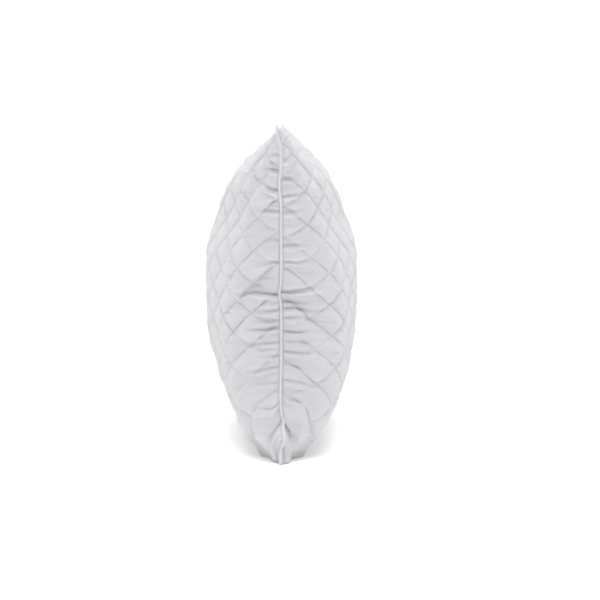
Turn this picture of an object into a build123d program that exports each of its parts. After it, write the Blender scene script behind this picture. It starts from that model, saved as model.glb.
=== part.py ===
from build123d import *
import os

# A quilted, piped bed pillow standing on one long edge.
# +X is its thickness, +Y its long direction and +Z up. The origin is the middle of its footprint.
# The front half of the cover is on +X, the back half on -X, and they meet in the seam plane X = 0.

# Overall size of the filled pillow, in millimetres
THICKNESS = 240.0
LENGTH = 632.0          # corner tip to corner tip along Y, over the piping
HEIGHT = 478.0          # floor to the tips of the upper corners, over the piping

# Piping: a filler cord in a folded strip whose flange is caught in the seam
PIPING_DIA = 4.4
FILLER_CORD_DIA = 3.0
PIPING_GAP = 0.05       # air between the piping and the edge of the seam that it lies along
FLANGE_WIDTH = 8.0
FLANGE_THICKNESS = 0.8
OVERLOCK_WIDTH = 1.2
OVERLOCK_THICKNESS = 1.6

# How far the outside of each layer lies inside the outside of the face fabric
FACE_OUT = 0.0
WADDING_OUT = FACE_OUT + 0.7
BACKING_OUT = WADDING_OUT + 4.0
LINER_OUT = BACKING_OUT + 0.6
FILL_OUT = LINER_OUT + 0.6

# Seam line in the plane X = 0: the corners stand out and the sides draw in between them
SEAM_STANDOFF = PIPING_DIA + PIPING_GAP
PIPING_INSET = -PIPING_DIA / 2 - PIPING_GAP
CORNER_TRIM_Y = 1.8     # what rounding the seam's corners takes off their tips
CORNER_TRIM_Z = 4.0
CORNER_Y = LENGTH / 2 - SEAM_STANDOFF + CORNER_TRIM_Y
CORNER_TOP_Z = HEIGHT - SEAM_STANDOFF + CORNER_TRIM_Z
CORNER_FOOT_Z = 5.0
MID_END_Y = 284.0       # half the length at mid height
MID_TOP_Z = 412.0       # top of the seam at mid length
CENTRE_Z = 205.0
BELLY_DROP = 213.0      # the free belly would hang this far below the centre, past the floor
SEAM_NOTCH = 20.0       # the seam draws up this much between the two bellies
PIPING_NOTCH = 16.0     # and the piping this much, clear of both
CORNER_RADIUS = 5.0
CORNER_GROWTH = 80.0    # how much the corner radius grows from seam to crown
CORNER_SHARE = 0.7      # most of the lower corners' reach that their radius may take

# The crown falls to the seam as a superellipse along each direction
END_POWER = 2.8
TOP_POWER = 2.3
LEVELS = (0.0, 0.13, 0.32, 0.52, 0.70, 0.84, 0.93, 0.98)

# Closing stitches on the far end, where the cover was sewn shut after filling
CLOSING_STITCHES = 24
CLOSING_PITCH = 7.0
STITCH_LENGTH = 4.5
STITCH_DIA = 0.7
CLOSING_X = 3.0
STITCH_STANDOFF = 0.3
LONG_SEAM_EDGE = 100.0      # edges longer than this are the sides of the seam, not its corners


def fall(level: float, power: float) -> float:
    """Share of the seam outline's reach that is left at a level from seam (0) to crown (1)."""
    return (1 - level**power) ** (1 / power)


def outline(level: float, inset: float, offset_x: float, notch: float = SEAM_NOTCH):
    """Outline of the pillow in a plane of constant X, as a face."""
    end_fall = fall(level, END_POWER)
    top_fall = fall(level, TOP_POWER)
    mid_y = MID_END_Y * end_fall - inset
    corner_y = CORNER_Y * end_fall * (1 - 0.22 * level**0.7) - inset
    top_reach = (MID_TOP_Z - CENTRE_Z) * top_fall - inset
    corner_reach = (CORNER_TOP_Z - CENTRE_Z) * top_fall * (1 - 0.33 * level**0.8) - inset
    belly_reach = BELLY_DROP * top_fall - inset
    if level == 0:
        belly_reach -= notch
    foot_reach = (CENTRE_Z - CORNER_FOOT_Z) * top_fall * (1 - 0.06 * level) - inset
    top_corner = (corner_y, CENTRE_Z + corner_reach)
    foot_corner = (corner_y, CENTRE_Z - foot_reach)
    radius = min(CORNER_RADIUS + CORNER_GROWTH * level, CORNER_SHARE * foot_reach)

    with BuildSketch(Plane.YZ.offset(offset_x)) as profile:
        with BuildLine():
            top = ThreePointArc((-top_corner[0], top_corner[1]), (0, CENTRE_Z + top_reach), top_corner)
            far = ThreePointArc(top_corner, (mid_y, CENTRE_Z), foot_corner)
            belly = ThreePointArc(foot_corner, (0, CENTRE_Z - belly_reach), (-foot_corner[0], foot_corner[1]))
            ThreePointArc(belly @ 1, (-mid_y, CENTRE_Z), top @ 0)
        make_face()
        fillet(profile.vertices(), radius)
    return profile.sketch


def padded_half(inset: float, floor_z: float):
    """The +X half of the pillow, crowned, all of it `inset` inside the outermost surface."""
    with BuildPart() as half:
        for level in LEVELS:
            add(outline(level, inset, level / LEVELS[-1] * (THICKNESS / 2 - inset)))
        loft()
        split(bisect_by=Plane.XY.offset(floor_z), keep=Keep.TOP)
    return half.part


def floor_under(inset: float) -> float:
    """Height of the flattened underside of the layer that starts at this inset."""
    return max(0.0, inset - FACE_OUT)


def write(piece: BuildPart, name: str):
    """Label a finished piece and write it as its own STEP file."""
    piece.part.label = name
    export_step(piece.part, f"parts/{name}.step")


os.makedirs("parts", exist_ok=True)

# Filler cord, a closed ring just outside the seam
cord_line = outline(0, PIPING_INSET, 0, PIPING_NOTCH).face().outer_wire()
with BuildPart() as piping_filler_cord:
    with BuildSketch(Plane(cord_line @ 0, z_dir=cord_line % 0)):
        Circle(FILLER_CORD_DIA / 2)
    sweep(path=cord_line)

# Piping strip, folded round the cord, with its flange reaching into the seam
with BuildPart() as piping_strip:
    with BuildSketch(Plane(cord_line @ 0, z_dir=cord_line % 0)):
        Circle(PIPING_DIA / 2)
    sweep(path=cord_line)
    extrude(outline(0, PIPING_INSET, 0, PIPING_NOTCH), amount=FLANGE_THICKNESS / 2, both=True)
    extrude(outline(0, FLANGE_WIDTH, 0), amount=FLANGE_THICKNESS, both=True, mode=Mode.SUBTRACT)
    add(piping_filler_cord.part, mode=Mode.SUBTRACT)

# Overlocking that binds the raw edges of the seam, inside the pillow
with BuildPart() as overlock_thread:
    extrude(outline(0, FLANGE_WIDTH, 0), amount=OVERLOCK_THICKNESS / 2, both=True)
    extrude(
        outline(0, FLANGE_WIDTH + OVERLOCK_WIDTH, 0), amount=OVERLOCK_THICKNESS, both=True, mode=Mode.SUBTRACT
    )

# The nested halves that the layers are cut from
face_half = padded_half(FACE_OUT, floor_under(FACE_OUT))
wadding_half = padded_half(WADDING_OUT, floor_under(WADDING_OUT))
backing_half = padded_half(BACKING_OUT, floor_under(BACKING_OUT))
liner_half = padded_half(LINER_OUT, floor_under(LINER_OUT))
fill_half = padded_half(FILL_OUT, floor_under(FILL_OUT))

# The layers of the front half stop at the piping's flange
seam_side = Plane.YZ.offset(FLANGE_THICKNESS / 2)
with BuildPart() as face_fabric_front:
    add(face_half)
    add(wadding_half, mode=Mode.SUBTRACT)
    split(bisect_by=seam_side, keep=Keep.TOP)
with BuildPart() as wadding_front:
    add(wadding_half)
    add(backing_half, mode=Mode.SUBTRACT)
    split(bisect_by=seam_side, keep=Keep.TOP)
with BuildPart() as backing_front:
    add(backing_half)
    add(liner_half, mode=Mode.SUBTRACT)
    split(bisect_by=seam_side, keep=Keep.TOP)
with BuildPart() as liner_front:
    add(liner_half)
    add(fill_half, mode=Mode.SUBTRACT)
    split(bisect_by=seam_side, keep=Keep.TOP)

with BuildPart() as fibre_fill:
    add(fill_half)
    mirror(about=Plane.YZ)
    add([piping_strip.part, overlock_thread.part], mode=Mode.SUBTRACT)

# The back half of the cover mirrors the front one
with BuildPart() as face_fabric_back:
    mirror(face_fabric_front.part, about=Plane.YZ)
with BuildPart() as wadding_back:
    mirror(wadding_front.part, about=Plane.YZ)
with BuildPart() as backing_back:
    mirror(backing_front.part, about=Plane.YZ)
with BuildPart() as liner_back:
    mirror(liner_front.part, about=Plane.YZ)

# Closing stitches: short bars of thread in the groove between the piping and the front half
stitch_line = outline(0, -STITCH_DIA / 2 - STITCH_STANDOFF, 0)
seam_sides = stitch_line.edges().filter_by(lambda edge: edge.length > LONG_SEAM_EDGE)
far_end_seam = seam_sides.sort_by(Axis.Y)[-1]
with BuildPart() as closing_stitches:
    for number in range(CLOSING_STITCHES):
        share = 0.5 + (number - (CLOSING_STITCHES - 1) / 2) * CLOSING_PITCH / far_end_seam.length
        middle = far_end_seam @ share + Vector(CLOSING_X, 0, 0)
        with Locations(Plane(middle, z_dir=far_end_seam % share)):
            Cylinder(STITCH_DIA / 2, STITCH_LENGTH)

write(piping_filler_cord, "piping_filler_cord")
write(piping_strip, "piping_strip")
write(overlock_thread, "overlock_thread")
write(face_fabric_front, "face_fabric_front")
write(face_fabric_back, "face_fabric_back")
write(wadding_front, "wadding_front")
write(wadding_back, "wadding_back")
write(backing_front, "backing_front")
write(backing_back, "backing_back")
write(liner_front, "liner_front")
write(liner_back, "liner_back")
write(fibre_fill, "fibre_fill")
write(closing_stitches, "closing_stitches")
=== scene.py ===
"""A full, diamond-quilted bed pillow with piped edges, standing on one long edge."""

import math
import bpy
import numpy as np
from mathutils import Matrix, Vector

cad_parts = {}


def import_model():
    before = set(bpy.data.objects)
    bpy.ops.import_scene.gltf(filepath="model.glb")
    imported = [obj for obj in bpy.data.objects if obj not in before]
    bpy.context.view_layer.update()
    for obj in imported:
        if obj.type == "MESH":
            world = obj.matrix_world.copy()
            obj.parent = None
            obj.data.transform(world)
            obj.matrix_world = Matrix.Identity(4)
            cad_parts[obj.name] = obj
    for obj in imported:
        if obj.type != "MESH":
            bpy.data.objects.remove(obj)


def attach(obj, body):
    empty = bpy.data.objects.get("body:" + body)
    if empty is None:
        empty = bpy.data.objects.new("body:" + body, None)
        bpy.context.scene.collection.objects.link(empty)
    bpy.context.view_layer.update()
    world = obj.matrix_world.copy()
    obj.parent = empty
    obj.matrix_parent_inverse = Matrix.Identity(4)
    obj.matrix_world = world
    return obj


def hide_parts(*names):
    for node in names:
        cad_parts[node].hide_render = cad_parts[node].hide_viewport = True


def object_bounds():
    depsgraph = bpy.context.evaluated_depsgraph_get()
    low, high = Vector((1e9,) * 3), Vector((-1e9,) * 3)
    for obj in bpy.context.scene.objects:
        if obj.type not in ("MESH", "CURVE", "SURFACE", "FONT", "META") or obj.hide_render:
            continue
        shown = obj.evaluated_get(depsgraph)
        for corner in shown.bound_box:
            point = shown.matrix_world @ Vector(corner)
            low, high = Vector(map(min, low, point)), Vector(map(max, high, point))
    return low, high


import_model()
CAD_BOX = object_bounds()
CAD_HIGH = np.array(CAD_BOX[1], dtype=float)

# --- Sizes, in metres -------------------------------------------------------------------------
COVER_LENGTH = 0.660        # of one flat half of the cover, seam to seam
COVER_WIDTH = 0.508
PIPING_RADIUS = 0.0022
WADDING = 0.005             # thickness of the quilted layers between two rows

# The seam lies in the plane X = 0. Its corners stand out, its sides draw in between them.
CORNER_Y = CAD_HIGH[1] - 2 * PIPING_RADIUS
CORNER_TOP = CAD_HIGH[2] - 2 * PIPING_RADIUS
CORNER_FOOT = 2 * PIPING_RADIUS
MIDDLE = (CORNER_FOOT + CORNER_TOP) / 2
END_DRAW = 0.037            # how far each short side draws in at its middle
TOP_DRAW = 0.074
FOOT_DRAW = 0.001

# Cloth simulation
SIM_STEP = 0.0085
SIM_FRAMES = 34
FLAT_BULGE = 0.015          # half the height of the two panels when they are laid together
DRAWN_BULGE = 0.09          # and when their rim has been drawn to the seam

# How the filled cover settles. Its weight widens the pillow low down and draws it in under the
# upper corners: (share of the girth, height, reach), then what the front half alone has more of
GIRTH = ((0.38, 0.030, 0.125), (-0.15, 0.347, 0.045))
FRONT_GIRTH = (0.05, 0.09, 0.06)
WHOLE_GIRTH = 0.988
SMOOTH_PASSES = 3
SINK = 0.024                # how far the underside sinks on the floor
END_SINK = 0.014            # how much more, behind the near lower corner
END_SINK_AT = (0.27, 0.05, 0.040)       # its distance from mid length, reach along Y, reach along X
SINK_FROM = 0.13            # height below which the cover sinks
SINK_OVER = 0.12
SEAM_HOLDS = 0.008          # the seam holds the cover up this far to either side
EAR_NARROWS = (0.4, 0.12, 0.075)        # near upper corner: share, reach along Y, reach up
END_TAPER = {1: 0.04, -1: 0.12}         # how much each half narrows behind the near end
END_TAPER_AT = (0.20, 0.07)             # distance from mid length, reach
FOOT_NARROWS = (0.45, 0.290, 0.045, 0.032)  # share, distance from mid length, reach along Y, up
NOSE = 0.0080               # half the thickness of the near lower corner, squashed on the floor
NOSE_FULL = 0.045           # distance from its tip where it is that thick
NOSE_REACH = 0.05
NOSE_EDGE = 0.004

# Quilting: straight rows that cross in long diamonds, even on the flat cloth
FINE_COUNT = ((264, 336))   # squares along and across each half
COARSER = 8                 # one square inside the cover for so many outside
DIAMOND_HIGH = {1: 0.0468, -1: 0.0481}
DIAMOND_PHASE = {1: -0.005, -1: 0.002}
DIAMOND_LONG = 0.0715
ROW_DEPTH = 0.0026          # of the groove that the stitches pull in
ROW_WIDTH = 0.0015
PUFF = 0.0018               # how far the wadding swells between the rows
PUFF_REACH = 0.0195         # distance from a row where it is full
DRIFT = 0.0008              # how far a row strays from its line
ROW_LEVEL = 0.009           # the rows run level into the near seam over this distance
ROW_SAG = 0.018             # and rise towards it by this much
ROW_SAG_REACH = 0.12
FAINT_REACH = 0.06          # how far from the near seam some rows are faint
CRUMPLE = ((0.00028, (7, 9)), (0.0003, (24, 18)))       # (height, waves in squares)
STREAK = (0.00040, (26, 3.2))
COVER_FLOOR = 0.0004        # least height of the cover's outside, and of its inside
LINING_FLOOR = 0.0030
SEAM_FLAT = 0.004           # the quilting flattens out this close to the seam
NOSE_FLAT = 0.035           # and mostly this close to the near lower corner

# Creases: the ranges that the random ones are drawn from
GATHER_WIDTH = 0.0023
GATHER_LENGTHS = (0.025, 0.065)
GATHER_DEPTHS = (0.0012, 0.0040)
GATHER_SPACINGS = (0.012, 0.032)
GATHER_CLEAR = 0.03         # of the corners
SLOPES = (-0.2, 0.2)
SMALL_CREASES = 170
SMALL_LENGTHS = (0.007, 0.018)
SMALL_WIDTHS = (0.0012, 0.0019)
SMALL_DEPTHS = (0.0004, 0.0011)

# The stuffed liner, inside the cover
LINER_GAP = 0.009
LINER_SHARE = (1.0, 0.97, 0.96)     # of the cover's size
LINER_FLOOR = 0.008

# Piping, and the overlock thread inside the seam
PIPING_STEP = 0.0016
PIPING_SIDES = 14
PIPING_LUMPS = 0.035        # how uneven its radius is
PIPING_PINCH = 0.03         # how much each stitch pinches it
THREAD_STEP = 0.004
THREAD_INSET = 0.009
THREAD_RADIUS = 0.0008
THREAD_SIDES = 6

# Closing stitches
STITCH_HEIGHTS = (0.123, 0.288, 0.007)      # from, up to, spacing
STITCH_RADIUS = 0.0004
STITCH_LIFT = 0.0003        # off the cloth
STITCH_SIDES = 6
STITCH_POINTS = 5


def fade(distance, reach):
    """1 at no distance, falling smoothly to nothing over about twice the reach."""
    return np.exp(-((distance / reach) ** 2))


# --- The seam ---------------------------------------------------------------------------------
# Small bends of the two ends' seams: (height, sideways, along Y, reach)
NEAR_BENDS = (
    (0.470, -0.0055, 0.000, 0.016),
    (0.395, -0.0030, 0.001, 0.016),
    (0.238, -0.0030, 0.001, 0.012),
    (0.090, -0.0010, 0.001, 0.030),
    (0.058, 0.0035, 0.004, 0.008),
    (0.038, 0.0050, -0.010, 0.010),
    (0.012, -0.0010, -0.004, 0.016),
)
FAR_BENDS = (
    (0.474, -0.0030, 0.000, 0.016),
    (0.300, 0.0025, -0.001, 0.018),
    (0.180, -0.0020, -0.001, 0.020),
    (0.050, -0.0040, 0.008, 0.018),
    (0.000, 0.0020, -0.008, 0.020),
)


def seam_point(side, t):
    """Point of the seam on one side, t from -1 to 1: along +Y on the long sides, up on the ends."""
    swell = 1 - t * t
    if side == "top":
        return np.stack([0 * t, CORNER_Y * t, CORNER_TOP - TOP_DRAW * swell], -1)
    if side == "foot":
        return np.stack([0 * t, CORNER_Y * t, CORNER_FOOT + FOOT_DRAW * swell], -1)
    z = MIDDLE + (CORNER_TOP - CORNER_FOOT) / 2 * t
    sign, bends = (-1, NEAR_BENDS) if side == "near" else (1, FAR_BENDS)
    x, y = 0 * z, sign * (CORNER_Y - END_DRAW * swell)
    for height, sideways, along, reach in bends:
        x = x + sideways * fade(z - height, reach)
        y = y + along * fade(z - height, reach)
    return np.stack([x, y, z], -1)


def seam_patch(u, v):
    """A smooth surface through the four sides of the seam, for u and v from -1 to 1."""
    a, b = (u[:, None, None] + 1) / 2, (v[None, :, None] + 1) / 2
    near, far = seam_point("near", v)[None], seam_point("far", v)[None]
    foot, top = seam_point("foot", u)[:, None], seam_point("top", u)[:, None]
    # the long sides start and end at the ends' own corners
    foot = foot + (1 - a) * (near[:, :1] - foot[:1]) + a * (far[:, :1] - foot[-1:])
    top = top + (1 - a) * (near[:, -1:] - top[:1]) + a * (far[:, -1:] - top[-1:])
    corners = (1 - a) * (1 - b) * near[:, :1] + (1 - a) * b * near[:, -1:]
    corners = corners + a * (1 - b) * far[:, :1] + a * b * far[:, -1:]
    return (1 - a) * near + a * far + (1 - b) * foot + b * top - corners


# --- Cloth simulation of the two halves ----------------------------------------------------------
def grid_ids(nu, nv):
    """Vertex numbers of the front and back grids, which share the vertices along the seam."""
    ids = np.arange((nu + 1) * (nv + 1)).reshape(nu + 1, nv + 1)
    inner = ids[1:-1, 1:-1]
    back = ids.copy()
    back[1:-1, 1:-1] = np.arange(inner.size).reshape(inner.shape) + ids.size
    return ids, back


def quads(ids, flip=False):
    """The faces of one grid of vertex numbers."""
    faces = np.stack([ids[:-1, :-1], ids[1:, :-1], ids[1:, 1:], ids[:-1, 1:]], -1).reshape(-1, 4)
    return faces[:, ::-1] if flip else faces


def panel_shapes(front_ids, back_ids):
    """The vertices of both panels, laid flat and then with their rim drawn to the seam."""
    u, v = (np.linspace(-1, 1, count) for count in front_ids.shape)
    swell = np.sqrt(np.outer(1 - u * u, 1 - v * v))
    flat = np.zeros((*front_ids.shape, 3))
    flat[..., 1] = (COVER_LENGTH / 2 * u)[:, None]
    flat[..., 2] = (MIDDLE + COVER_WIDTH / 2 * v)[None]
    for panel, bulge in ((flat, FLAT_BULGE), (seam_patch(u, v), DRAWN_BULGE)):
        points = np.zeros((back_ids.max() + 1, 3))
        for ids, sign in ((back_ids, -1), (front_ids, 1)):
            points[ids] = panel
            points[ids, 0] += sign * bulge * swell
        yield points


def sewn_panels(front_ids, back_ids):
    """Both panels as one mesh, with an animated shape key that draws the rim to the seam."""
    flat, drawn = panel_shapes(front_ids, back_ids)
    mesh = bpy.data.meshes.new("sewn_panels")
    faces = np.concatenate([quads(front_ids), quads(back_ids, flip=True)])
    mesh.from_pydata(flat.tolist(), [], faces.tolist())
    panels = bpy.data.objects.new("sewn_panels", mesh)
    bpy.context.collection.objects.link(panels)
    panels.shape_key_add(name="flat")
    key = panels.shape_key_add(name="drawn")
    key.data.foreach_set("co", drawn.astype(np.float32).ravel())
    for value, when in ((0.0, 1), (1.0, SIM_FRAMES // 3)):
        key.value = value
        key.keyframe_insert("value", frame=when)
    seam = panels.vertex_groups.new(name="seam")
    rim = [front_ids[0], front_ids[-1], front_ids[:, 0], front_ids[:, -1]]
    seam.add(np.unique(np.concatenate(rim)).tolist(), 1.0, "REPLACE")
    return panels


def fill_with_pressure(panels):
    """Make the panels a soft cloth that is held along the seam and swells with the filling."""
    fill = panels.modifiers.new("fill", "CLOTH")
    settings = fill.settings
    settings.quality = 8
    settings.mass = 0.05
    settings.tension_stiffness = 40
    settings.compression_stiffness = 22
    settings.shear_stiffness = 9
    settings.bending_stiffness = 0.25
    settings.tension_damping = settings.compression_damping = 15
    settings.air_damping = 3
    settings.vertex_group_mass = "seam"
    settings.use_pressure = True
    settings.uniform_pressure_force = 12
    settings.effector_weights.gravity = 0
    fill.collision_settings.use_collision = False
    fill.point_cache.frame_end = SIM_FRAMES


def inflate():
    """Sew two flat panels together, draw the seam to its place and fill them. Gives both grids."""
    front_ids, back_ids = grid_ids(round(COVER_LENGTH / SIM_STEP), round(COVER_WIDTH / SIM_STEP))
    panels = sewn_panels(front_ids, back_ids)
    fill_with_pressure(panels)
    scene = bpy.context.scene
    for number in range(1, SIM_FRAMES + 1):
        scene.frame_set(number)
    shape = panels.evaluated_get(bpy.context.evaluated_depsgraph_get()).data
    points = np.empty(len(shape.vertices) * 3)
    shape.vertices.foreach_get("co", points)
    points = points.reshape(-1, 3)
    bpy.data.objects.remove(panels)
    scene.frame_set(1)
    return settle(points[front_ids], 1), settle(points[back_ids], -1)


def settle(grid, sign):
    """Let the filling sink: a wider, flatter underside and drawn-in upper flanks."""
    grid = grid.copy()
    for _ in range(SMOOTH_PASSES):
        ring = grid[:-2, 1:-1] + grid[2:, 1:-1] + grid[1:-1, :-2] + grid[1:-1, 2:]
        grid[1:-1, 1:-1] = (grid[1:-1, 1:-1] + ring / 4) / 2
    sink(grid)
    x, y, z = (grid[1:-1, 1:-1, k] for k in range(3))
    x *= 1 + sum(share * fade(z - height, reach) for share, height, reach in GIRTH)
    share, height, reach = FRONT_GIRTH
    x *= 1 + share * (sign > 0) * fade(z - height, reach)
    share, along, up = EAR_NARROWS
    x *= 1 - share * fade(y + CORNER_Y, along) * fade(z - CORNER_TOP, up)
    place, reach = END_TAPER_AT
    x *= WHOLE_GIRTH - END_TAPER[sign] * fade(y + place, reach)
    share, place, along, up = FOOT_NARROWS
    x *= 1 - share * fade(y + place, along) * fade(z, up)
    x[:] = sign * np.maximum(sign * x, nose_thickness(x.shape))
    return grid


def sink(grid):
    """Lower the underside, most of all behind the near lower corner. The seam holds its place."""
    x, y, z = (grid[1:-1, 1:-1, k] for k in range(3))
    place, along, across = END_SINK_AT
    away = np.clip(np.abs(x) / SEAM_HOLDS, 0, 1)
    low = np.clip((SINK_FROM - z) / SINK_OVER, 0, 1)
    z -= (SINK + END_SINK * fade(y + place, along) * fade(x, across)) * away * low**1.3


def nose_thickness(inner_size):
    """Half the least thickness near the near lower corner, for each inner point of a grid."""
    u = np.linspace(0, COVER_LENGTH, inner_size[0] + 2)[1:-1, None]
    v = np.linspace(0, COVER_WIDTH, inner_size[1] + 2)[None, 1:-1]
    tip = np.hypot(u, v)
    nose = NOSE * np.minimum(tip / NOSE_FULL, 1) * fade(tip, NOSE_REACH)
    return nose * (1 - np.exp(-np.minimum(u, v) / NOSE_EDGE))


# --- Finer grids, with quilting -------------------------------------------------------------------
def cubic_weights(count, place):
    """Matrix that reads a row of `count` points at the given places, by Catmull-Rom curves."""
    place = place * (count - 1)
    base = np.minimum(place.astype(int), count - 2)
    s = place - base
    blend = (-s + 2 * s**2 - s**3, 2 - 5 * s**2 + 3 * s**3, s + 4 * s**2 - 3 * s**3, s**3 - s**2)
    matrix = np.zeros((len(place), count))
    for step, weight in zip((-1, 0, 1, 2), blend):
        np.add.at(matrix, (np.arange(len(place)), np.clip(base + step, 0, count - 1)), weight / 2)
    return matrix


def refine(grid, places):
    """The same surface at finer places, given as shares of its length and width."""
    rows = cubic_weights(grid.shape[0], places[0])
    columns = cubic_weights(grid.shape[1], places[1])
    return np.einsum("ai,ijk,bj->abk", rows, grid, columns)


def soft_noise(seed, size, reach):
    """Smooth random field of unit spread, its waves about reach[0] by reach[1] grid cells."""
    field = np.fft.rfft2(np.random.default_rng(seed).standard_normal(size))
    fu = np.fft.fftfreq(size[0])[:, None] * reach[0]
    fv = np.fft.rfftfreq(size[1])[None] * reach[1]
    field = np.fft.irfft2(field * np.exp(-8 * (fu**2 + fv**2)), s=size)
    return field / field.std()


def normals_of(grid, sign):
    """Unit normals of a grid that faces out along sign * X."""
    normal = sign * np.cross(np.gradient(grid, axis=0), np.gradient(grid, axis=1))
    return normal / np.maximum(np.linalg.norm(normal, axis=-1, keepdims=True), 1e-12)


def row_distances(u, v, sign):
    """Distance on the cloth from the nearest quilting row of each family, and how deep it is.

    Behind the near end the rows bend level into the seam, and those that climb away are faint.
    """
    high = DIAMOND_HIGH[sign]
    slope = high / DIAMOND_LONG
    across = high / math.hypot(1, slope)
    bent = u - ROW_LEVEL * (1 - np.exp(-u / ROW_LEVEL))
    sag = ROW_SAG * (1 - np.exp(-u / ROW_SAG_REACH))
    faint = 1 - np.clip(0.55 - 1.3 * v, 0.3, 0.85) * fade(u, FAINT_REACH)
    for sense, depth in ((1, 1), (-1, faint)):
        rows = (v + sag - DIAMOND_PHASE[sign] + sense * slope * bent) / high
        yield np.abs(rows - np.round(rows)) * across, depth


# Gathers that run in from the near end's seam: (height on the cloth above its middle, length,
# depth, slope), listed one by one, then random ones round the rest of the seam
FRONT_GATHERS = (
    (0.205, 0.030, 0.0030, 0.10), (0.178, 0.040, 0.0026, -0.15), (0.150, 0.050, 0.0034, 0.06),
    (0.126, 0.045, 0.0028, 0.08), (0.075, 0.050, 0.0028, 0.10), (0.050, 0.060, 0.0026, 0.12),
    (0.003, 0.060, 0.0060, 0.22), (-0.012, 0.040, 0.0030, 0.02), (-0.024, 0.070, 0.0036, 0.03),
    (-0.036, 0.045, 0.0026, 0.00), (-0.058, 0.065, 0.0038, 0.00), (-0.072, 0.045, 0.0026, 0.02),
    (-0.088, 0.055, 0.0036, 0.02), (-0.108, 0.045, 0.0028, -0.05), (-0.130, 0.055, 0.0030, 0.00),
    (-0.155, 0.040, 0.0026, 0.00), (-0.191, 0.045, 0.0044, -0.33), (-0.216, 0.030, 0.0030, 0.05),
)
BACK_GATHERS = (
    (0.215, 0.035, 0.0030, -0.05), (0.188, 0.050, 0.0036, 0.10), (0.160, 0.040, 0.0062, 0.18),
    (0.128, 0.040, 0.0028, 0.05), (0.085, 0.035, 0.0022, 0.00), (0.050, 0.055, 0.0024, 0.05),
    (-0.002, 0.085, 0.0060, 0.10), (-0.024, 0.040, 0.0028, 0.05), (-0.040, 0.045, 0.0028, 0.00),
    (-0.052, 0.065, 0.0038, 0.00), (-0.075, 0.055, 0.0034, 0.05), (-0.094, 0.040, 0.0026, 0.00),
    (-0.112, 0.050, 0.0034, 0.00), (-0.135, 0.050, 0.0030, 0.03), (-0.165, 0.045, 0.0026, -0.05),
    (-0.214, 0.035, 0.0034, 0.00),
)


def gather(from_seam, along_seam, where, length, depth, slope):
    """Height of one crease that leaves the seam at `where` and dies out over its length.

    It has a clear ridge on its lower side and a faint one on its upper side.
    """
    width = GATHER_WIDTH * (1 + 0.7 * from_seam / length)
    off = (along_seam - where - slope * from_seam) / width
    left = np.exp(-((from_seam / length) ** 4)) * (1 - 0.5 * np.minimum(from_seam / length, 1))
    return depth * left * (fade(off + 1.9, 0.85) + 0.2 * fade(off - 2.1, 1) - 0.8 * fade(off, 1))


def small_creases(u, v, seed):
    """Short creases that lie along the pillow, closest together behind the two ends."""
    random = np.random.default_rng(seed)
    height = 0 * u * v
    for _ in range(SMALL_CREASES):
        end = random.choice((-1, 1))
        inward = random.uniform(0.012, 0.13) if random.random() < 0.75 else random.uniform(0.1, 0.33)
        u0, v0 = end * (COVER_LENGTH / 2 - inward), random.uniform(-0.5, 0.5) * (COVER_WIDTH - 0.03)
        length, width = random.uniform(*SMALL_LENGTHS), random.uniform(*SMALL_WIDTHS)
        depth, slope = random.uniform(*SMALL_DEPTHS), random.uniform(*SLOPES)
        off = (v - v0 - slope * (u - u0)) / width
        left = np.exp(-(((u - u0) / length) ** 4))
        height = height + depth * left * (0.9 * fade(off + 1.8, 1) - fade(off, 1))
    return height


def seam_gathers(u, v, near, seed):
    """All the gathers of one half, as a height field."""
    half_u, half_v = COVER_LENGTH / 2, COVER_WIDTH / 2
    height = 0 * u * v
    for where, length, depth, slope in near:
        height = height + gather(half_u + u, v, where, length, depth, slope)
    random = np.random.default_rng(seed)
    sides = ((half_u - u, v, half_v), (half_v - v, u, half_u), (half_v + v, u, half_u))
    for from_seam, along, half in sides:
        where = -half + GATHER_CLEAR
        while where < half - GATHER_CLEAR:
            length, depth = random.uniform(*GATHER_LENGTHS), random.uniform(*GATHER_DEPTHS)
            slope = random.uniform(*SLOPES)
            height = height + gather(from_seam, along, where, length, depth, slope)
            where += random.uniform(*GATHER_SPACINGS)
    return height


def quilting_height(u, v, sign, near, seed):
    """How far one half's quilting, gathers and creases stand off the plain cloth."""
    size = np.broadcast(u, v).shape
    drift = DRIFT * soft_noise(seed, size, (60, 60))
    groove, swell = np.ones(size), np.ones(size)
    for distance, depth in row_distances(u + COVER_LENGTH / 2, v + drift, sign):
        groove = groove * (1 - depth * np.exp(-distance / ROW_WIDTH))
        rise = np.sin(np.minimum(distance / PUFF_REACH, 1) * math.pi / 2)
        swell = swell * (1 - depth + depth * rise)
    crumple = sum(
        depth * soft_noise(seed + 1 + number, size, waves)
        for number, (depth, waves) in enumerate(CRUMPLE)
    )
    streak_height, streak_waves = STREAK
    from_end = COVER_LENGTH / 2 - np.abs(u) + 0 * v
    streaks = soft_noise(seed + 5, size, streak_waves) * (0.25 + fade(from_end, 0.07))
    height = ROW_DEPTH * groove + PUFF * swell + (crumple + streak_height * streaks) * groove
    return height + seam_gathers(u, v, near, seed + 3) + small_creases(u, v, seed + 4)


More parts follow.
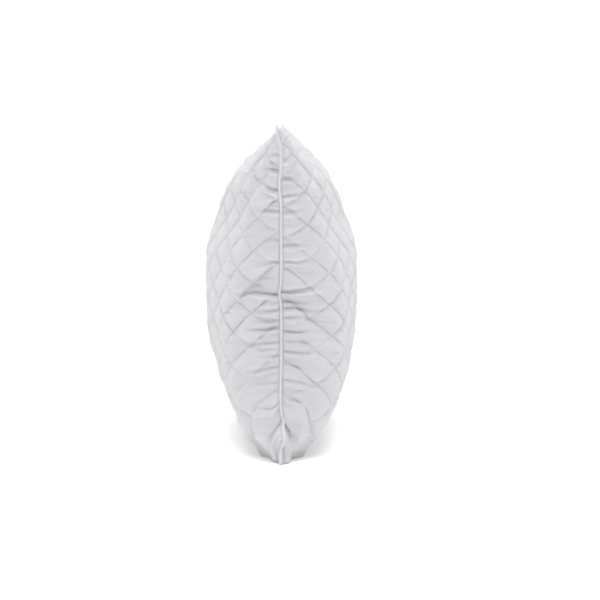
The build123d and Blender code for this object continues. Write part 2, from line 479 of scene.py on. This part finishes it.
def quilted(grid, sign, near, seed):
    """The outer surface of one quilted half as a fine grid, its inner one, and cloth coordinates."""
    share = [np.linspace(0, 1, count + 1) for count in FINE_COUNT]
    share[0] = share[0] - 0.06 * np.sin(2 * math.pi * share[0])     # closer lines by the ends
    u = COVER_LENGTH * (share[0] - 0.5)[:, None]
    v = COVER_WIDTH * (share[1] - 0.5)[None]
    fine = refine(grid, share)
    from_seam = np.minimum(COVER_LENGTH / 2 - np.abs(u), COVER_WIDTH / 2 - np.abs(v))
    from_nose = np.hypot(u + COVER_LENGTH / 2, v + COVER_WIDTH / 2)
    off_seam = (1 - fade(from_seam, SEAM_FLAT)) * (1 - 0.75 * fade(from_nose, NOSE_FLAT))

    normal = normals_of(fine, sign)
    outer = fine + normal * (quilting_height(u, v, sign, near, seed) * off_seam)[..., None]
    outer[..., 2] = np.maximum(outer[..., 2], COVER_FLOOR)
    # the layers thin out where the other half is close
    seam_x = seam_patch(2 * share[0] - 1, 2 * share[1] - 1)[..., 0]
    thickness = np.minimum(WADDING, 0.4 * np.abs(fine[..., 0] - seam_x))
    inner = fine - normal * (thickness * off_seam)[..., None]
    inner[..., 2] = np.maximum(inner[..., 2], LINING_FLOOR)
    return outer, inner, u, v


# --- Meshes ---------------------------------------------------------------------------------------
def new_piece(name, points, faces, replaced, material, uv=None):
    """A smooth mesh piece on the root body that stands for some CAD nodes."""
    mesh = bpy.data.meshes.new(name)
    mesh.from_pydata(points.tolist(), [], faces)
    mesh.shade_smooth()
    if uv is not None:
        layer = mesh.uv_layers.new(name="cloth")
        corners = np.empty(len(mesh.loops), dtype=np.int32)
        mesh.loops.foreach_get("vertex_index", corners)
        layer.data.foreach_set("uv", uv[corners].astype(np.float32).ravel())
    piece = bpy.data.objects.new(name, mesh)
    bpy.context.collection.objects.link(piece)
    mesh.materials.append(material)
    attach(piece, "root")
    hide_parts(*replaced)
    return piece


def lining_cells(inner_ids):
    """Coarse faces of the inside, which meet the fine rim point for point."""
    step = COARSER
    last = (inner_ids.shape[0] - 1, inner_ids.shape[1] - 1)
    cells = []
    for i in range(0, last[0], step):
        for j in range(0, last[1], step):
            corners = [(i, j), (i + step, j), (i + step, j + step), (i, j + step)]
            loop = []
            for (a, b), (c, d) in zip(corners, corners[1:] + corners[:1]):
                on_rim = (a == c and a in (0, last[0])) or (b == d and b in (0, last[1]))
                parts = step if on_rim else 1
                for k in range(parts):
                    loop.append(inner_ids[a + (c - a) * k // parts, b + (d - b) * k // parts])
            cells.append(loop)
    return cells


def quilt_piece(side, sign, surfaces, material):
    """One quilted half as a closed piece: its outer and inner surfaces share their rim."""
    outer, inner, u, v = surfaces
    outer_ids, inner_ids = grid_ids(outer.shape[0] - 1, outer.shape[1] - 1)
    points = np.zeros((inner_ids.max() + 1, 3))
    points[inner_ids] = inner
    points[outer_ids] = outer
    uv = np.zeros((len(points), 2))
    uv[inner_ids] = uv[outer_ids] = np.stack(np.broadcast_arrays(u, v), -1)
    shell = quads(outer_ids, flip=sign < 0).tolist()
    lining = [cell if sign < 0 else cell[::-1] for cell in lining_cells(inner_ids)]
    faces = shell + lining
    # the coarse lining leaves points out, so the vertices are numbered again
    used, numbers = np.unique(np.concatenate([np.array(face) for face in faces]), return_inverse=True)
    ends = np.cumsum([len(face) for face in faces])[:-1]
    faces = [part.tolist() for part in np.split(numbers, ends)]
    nodes = [f"{layer}_{side}" for layer in ("face_fabric", "wadding", "backing")]
    piece = new_piece(f"quilted_half_{side}", points[used], faces, nodes, material, uv[used])
    return piece


def fill_piece(front, back, material):
    """The stuffed liner inside the cover, as one closed soft form."""
    front_ids, back_ids = grid_ids(front.shape[0] - 1, front.shape[1] - 1)
    points = np.zeros((back_ids.max() + 1, 3))
    centre = np.array([0, 0, MIDDLE])
    for ids, grid, sign in ((back_ids, back, -1), (front_ids, front, 1)):
        gap = np.minimum(LINER_GAP, 0.6 * np.abs(grid[..., :1]))     # less where the cover is thin
        points[ids] = grid - normals_of(grid, sign) * gap
    points = centre + (points - centre) * np.array(LINER_SHARE)
    points[..., 2] = np.maximum(points[..., 2], LINER_FLOOR)
    faces = np.concatenate([quads(front_ids), quads(back_ids, flip=True)]).tolist()
    nodes = ["fibre_fill", "liner_front", "liner_back"]
    piece = new_piece("stuffed_liner", points, faces, nodes, material)
    return piece


def seam_loop(step, outward):
    """Even points round the whole seam, moved outward by a distance, and the way outward."""
    t = np.linspace(-1, 1, 400)
    long_sides, ends = seam_patch(t, t[[0, -1]]), seam_patch(t[[0, -1]], t)
    sides = (long_sides[:, 0], ends[1], long_sides[::-1, 1], ends[0, ::-1])
    loop = np.concatenate([side[:-1] for side in sides])
    lengths = np.linalg.norm(np.roll(loop, -1, 0) - loop, axis=1)
    total = lengths.sum()
    count = round(total / step)
    at = np.concatenate([[0], np.cumsum(lengths)])
    closed = np.concatenate([loop, loop[:1]])
    places = np.arange(count) * total / count
    even = np.stack([np.interp(places, at, closed[:, k]) for k in range(3)], -1)
    for _ in range(3):
        even = (np.roll(even, 1, 0) + 2 * even + np.roll(even, -1, 0)) / 4
    along = np.roll(even, -1, 0) - np.roll(even, 1, 0)
    along /= np.linalg.norm(along, axis=1, keepdims=True)
    out = np.cross(along, [1.0, 0, 0])
    out /= np.linalg.norm(out, axis=1, keepdims=True)
    return even + out * outward, out


def ring_tube(centres, out, radius, sides):
    """Points and faces of a closed tube round a loop of centres; radius may vary along it."""
    angle = np.arange(sides) * 2 * math.pi / sides
    across = np.array([1.0, 0, 0])
    ring = out[:, None] * np.cos(angle)[None, :, None] + across * np.sin(angle)[None, :, None]
    points = centres[:, None] + ring * np.asarray(radius).reshape(-1, 1, 1)
    ids = np.arange(points.shape[0] * sides).reshape(-1, sides)
    after, beside = np.roll(ids, -1, 0), np.roll(ids, -1, 1)
    faces = np.stack([ids, beside, np.roll(after, -1, 1), after], -1).reshape(-1, 4)
    return points.reshape(-1, 3), faces.tolist()


def piping(material):
    """The piping: a cord in a folded strip, a little uneven where the stitches pinch it."""
    centres, out = seam_loop(PIPING_STEP, PIPING_RADIUS * 0.75)
    centres[:, 2] = np.maximum(centres[:, 2], PIPING_RADIUS * 1.08)
    count = len(centres)
    lumps = np.fft.rfft(np.random.default_rng(5).standard_normal(count))
    lumps = np.fft.irfft(lumps * np.exp(-((np.fft.rfftfreq(count) * 14) ** 2)), n=count)
    pinches = np.cos(np.arange(count) * 1.6)
    radius = PIPING_RADIUS * (1 + PIPING_LUMPS * lumps / lumps.std() - PIPING_PINCH * pinches)
    points, faces = ring_tube(centres, out, radius, PIPING_SIDES)
    nodes = ["piping_strip", "piping_filler_cord"]
    return new_piece("piping", points, faces, nodes, material)


def seam_thread(material):
    """The overlocked edge of the seam, inside the pillow."""
    centres, out = seam_loop(THREAD_STEP, -THREAD_INSET)
    points, faces = ring_tube(centres, out, THREAD_RADIUS, THREAD_SIDES)
    return new_piece("seam_thread", points, faces, ["overlock_thread"], material)


def stitch_tube(path, first_id):
    """Points and faces of one short thread with closed ends, numbered from a first vertex."""
    angle = np.arange(STITCH_SIDES) * 2 * math.pi / STITCH_SIDES
    along = np.gradient(path, axis=0)
    along /= np.linalg.norm(along, axis=1, keepdims=True)
    side = np.cross(along, [0, 0, 1.0])
    side /= np.linalg.norm(side, axis=1, keepdims=True)
    up = np.cross(side, along)
    ring = side[:, None] * np.cos(angle)[None, :, None] + up[:, None] * np.sin(angle)[None, :, None]
    points = (path[:, None] + STITCH_RADIUS * ring).reshape(-1, 3)
    ids = first_id + np.arange(len(points)).reshape(-1, STITCH_SIDES)
    beside = np.roll(ids, -1, 1)
    faces = np.stack([ids[:-1], beside[:-1], beside[1:], ids[1:]], -1).reshape(-1, 4).tolist()
    return points, faces + [ids[0, ::-1].tolist(), ids[-1].tolist()]


def closing_stitches(surfaces, material):
    """Hand stitches over the far end's seam, where the cover was closed after filling."""
    outer = surfaces[0]
    raised = outer + normals_of(outer, 1) * STITCH_LIFT
    seam_heights = outer[-1, :, 2]
    points, faces = np.zeros((0, 3)), []
    for z in np.arange(*STITCH_HEIGHTS):
        column = int(np.argmin(np.abs(seam_heights - z)))
        path = np.array([raised[-1 - k, column + k // 3] for k in range(STITCH_POINTS)])
        path[0] += (0.0010, 0.0022, 0)      # out over the piping
        stitch, stitch_faces = stitch_tube(path, len(points))
        points = np.concatenate([points, stitch])
        faces += stitch_faces
    nodes = ["closing_stitches"]
    return new_piece("hand_stitches", points, faces, nodes, material)


# --- Materials --------------------------------------------------------------------------------------
class Nodes:
    """Short hand for building one material's node tree."""

    def __init__(self, name):
        self.material = bpy.data.materials.new(name)
        self.material.use_nodes = True
        self.tree = self.material.node_tree
        self.shader = self.tree.nodes["Principled BSDF"]

    def add(self, kind, settings=None, **inputs):
        node = self.tree.nodes.new(kind)
        for key, value in (settings or {}).items():
            setattr(node, key, value)
        for key, value in inputs.items():
            self.feed(node.inputs[key.replace("_", " ")], value)
        return node

    def feed(self, socket, value):
        if isinstance(value, bpy.types.NodeSocket):
            self.tree.links.new(value, socket)
        else:
            socket.default_value = value

    def math(self, operation, first, second=0.0):
        node = self.add("ShaderNodeMath", {"operation": operation})
        self.feed(node.inputs[0], first)
        self.feed(node.inputs[1], second)
        return node.outputs[0]


def woven(name, colour, shade, cloth_uv):
    """White woven cotton: a plain weave in the bump, slubs and a faint unevenness in the colour."""
    thread, roughness, unevenness = 0.00035, 0.85, 0.06
    n = Nodes(name)
    place = n.add("ShaderNodeTexCoord").outputs["UV" if cloth_uv else "Object"]
    weave = []
    bands = 0.314 / thread / 2      # the wave node's scale for two threads to a band
    for direction in ("X", "Y"):
        wave = n.add("ShaderNodeTexWave", {"bands_direction": direction}, Vector=place, Scale=bands)
        weave.append(n.math("ABSOLUTE", n.math("SUBTRACT", wave.outputs["Fac"], 0.5)))
    threads = n.math("ADD", weave[0], weave[1])
    slubs = n.add("ShaderNodeTexNoise", Vector=place, Scale=900.0, Detail=3.0)
    cloud = n.add("ShaderNodeTexNoise", Vector=place, Scale=14.0, Detail=4.0)
    tint = n.add("ShaderNodeMix", {"data_type": "RGBA"})
    n.feed(tint.inputs[0], cloud.outputs["Fac"])
    n.feed(tint.inputs[6], (*shade, 1))
    n.feed(tint.inputs[7], (*colour, 1))
    thread_height = n.math("MULTIPLY", threads, 0.6)
    height = n.math("ADD", thread_height, n.math("MULTIPLY", slubs.outputs["Fac"], 0.7))
    bump = n.add("ShaderNodeBump", Height=height, Distance=0.0004, Strength=0.5)
    rough = n.add("ShaderNodeMapRange", Value=slubs.outputs["Fac"])
    n.feed(rough.inputs["To Min"], roughness - unevenness)
    n.feed(rough.inputs["To Max"], roughness + unevenness)
    n.feed(n.shader.inputs["Base Color"], tint.outputs[2])
    n.feed(n.shader.inputs["Roughness"], rough.outputs[0])
    n.feed(n.shader.inputs["Normal"], bump.outputs[0])
    n.shader.inputs["Sheen Weight"].default_value = 0.25
    n.shader.inputs["Sheen Roughness"].default_value = 0.5
    n.shader.inputs["Specular IOR Level"].default_value = 0.25
    return n.material


# --- Build ------------------------------------------------------------------------------------------
cotton = woven("quilted_cotton", (0.560, 0.560, 0.564), (0.530, 0.530, 0.534), cloth_uv=True)
piping_cotton = woven("piping_cotton", (0.600, 0.600, 0.604), (0.570, 0.570, 0.574), cloth_uv=False)
liner_cloth = woven("liner_cloth", (0.88, 0.88, 0.87), (0.84, 0.84, 0.83), cloth_uv=False)
thread = woven("sewing_thread", (0.92, 0.92, 0.92), (0.88, 0.88, 0.88), cloth_uv=False)

front_grid, back_grid = inflate()
front_half = quilted(front_grid, 1, FRONT_GATHERS, 11)
quilt_piece("front", 1, front_half, cotton)
quilt_piece("back", -1, quilted(back_grid, -1, BACK_GATHERS, 23), cotton)
fill_piece(front_grid, back_grid, liner_cloth)
piping(piping_cotton)
seam_thread(thread)
closing_stitches(front_half, thread)


# --- Setting ------------------------------------------------------------------------------------------
def floor():
    """A plain pale floor."""
    mesh = bpy.data.meshes.new("floor")
    corners = [(-12, -12, 0), (12, -12, 0), (12, 12, 0), (-12, 12, 0)]
    mesh.from_pydata(corners, [], [(0, 1, 2, 3)])
    plane = bpy.data.objects.new("floor", mesh)
    bpy.context.collection.objects.link(plane)
    white = bpy.data.materials.new("floor_white")
    white.use_nodes = True
    shader = white.node_tree.nodes["Principled BSDF"]
    shader.inputs["Base Color"].default_value = (0.96, 0.96, 0.96, 1)
    shader.inputs["Roughness"].default_value = 0.9
    shader.inputs["Emission Color"].default_value = (1, 1, 1, 1)
    shader.inputs["Emission Strength"].default_value = 0.19
    mesh.materials.append(white)


def sun(name, toward, strength, spread):
    """Soft, faintly cool light from one direction, the same all over the floor."""
    data = bpy.data.lights.new(name, "SUN")
    data.color = (0.988, 0.985, 1.0)
    data.energy = strength
    data.angle = math.radians(spread)
    light = bpy.data.objects.new(name, data)
    light.rotation_euler = Vector(toward).to_track_quat("Z", "Y").to_euler()
    bpy.context.collection.objects.link(light)


def world(sky):
    """White at the horizon and below it, and a dimmer sky that leaves the shading to the suns."""
    surround = bpy.data.worlds.new("studio")
    surround.use_nodes = True
    tree = surround.node_tree
    direction = tree.nodes.new("ShaderNodeTexCoord")
    height = tree.nodes.new("ShaderNodeSeparateXYZ")
    level = tree.nodes.new("ShaderNodeMapRange")
    tree.links.new(direction.outputs["Generated"], height.inputs[0])
    tree.links.new(height.outputs["Z"], level.inputs["Value"])
    for socket, value in (("From Min", 0.075), ("From Max", 0.16), ("To Min", 1.05), ("To Max", sky)):
        level.inputs[socket].default_value = value
    tree.links.new(level.outputs[0], tree.nodes["Background"].inputs["Strength"])
    tree.nodes["Background"].inputs["Color"].default_value = (1, 1, 1, 1)
    bpy.context.scene.world = surround


def camera():
    """Level with the upper corners, straight along the pillow, looking a little down."""
    distance = 2.6
    scale = 0.00139             # metres a picture point at the near end
    focal = distance / scale    # in picture points
    horizon = 183               # picture points above the middle of the picture
    data = bpy.data.cameras.new("camera")
    data.sensor_width = 36
    data.lens = 36 * focal / 600
    eye = bpy.data.objects.new("camera", data)
    eye.location = (0.0265, -CORNER_Y - distance, 0.488)
    down = math.atan(horizon / focal)
    eye.rotation_euler = (math.pi / 2 - down, 0, 0)
    bpy.context.collection.objects.link(eye)
    bpy.context.scene.camera = eye


floor()
world(0.38)
camera()
sun("key", (0.0, -0.06, 1.0), 3.5, 50)
sun("front", (0.0, -1.0, 0.2), 0.14, 60)
sun("left", (-0.8, 0.35, 0.6), 0.34, 60)
sun("right", (0.8, 0.35, 0.6), 0.34, 60)
bpy.context.scene.view_settings.view_transform = "Standard"
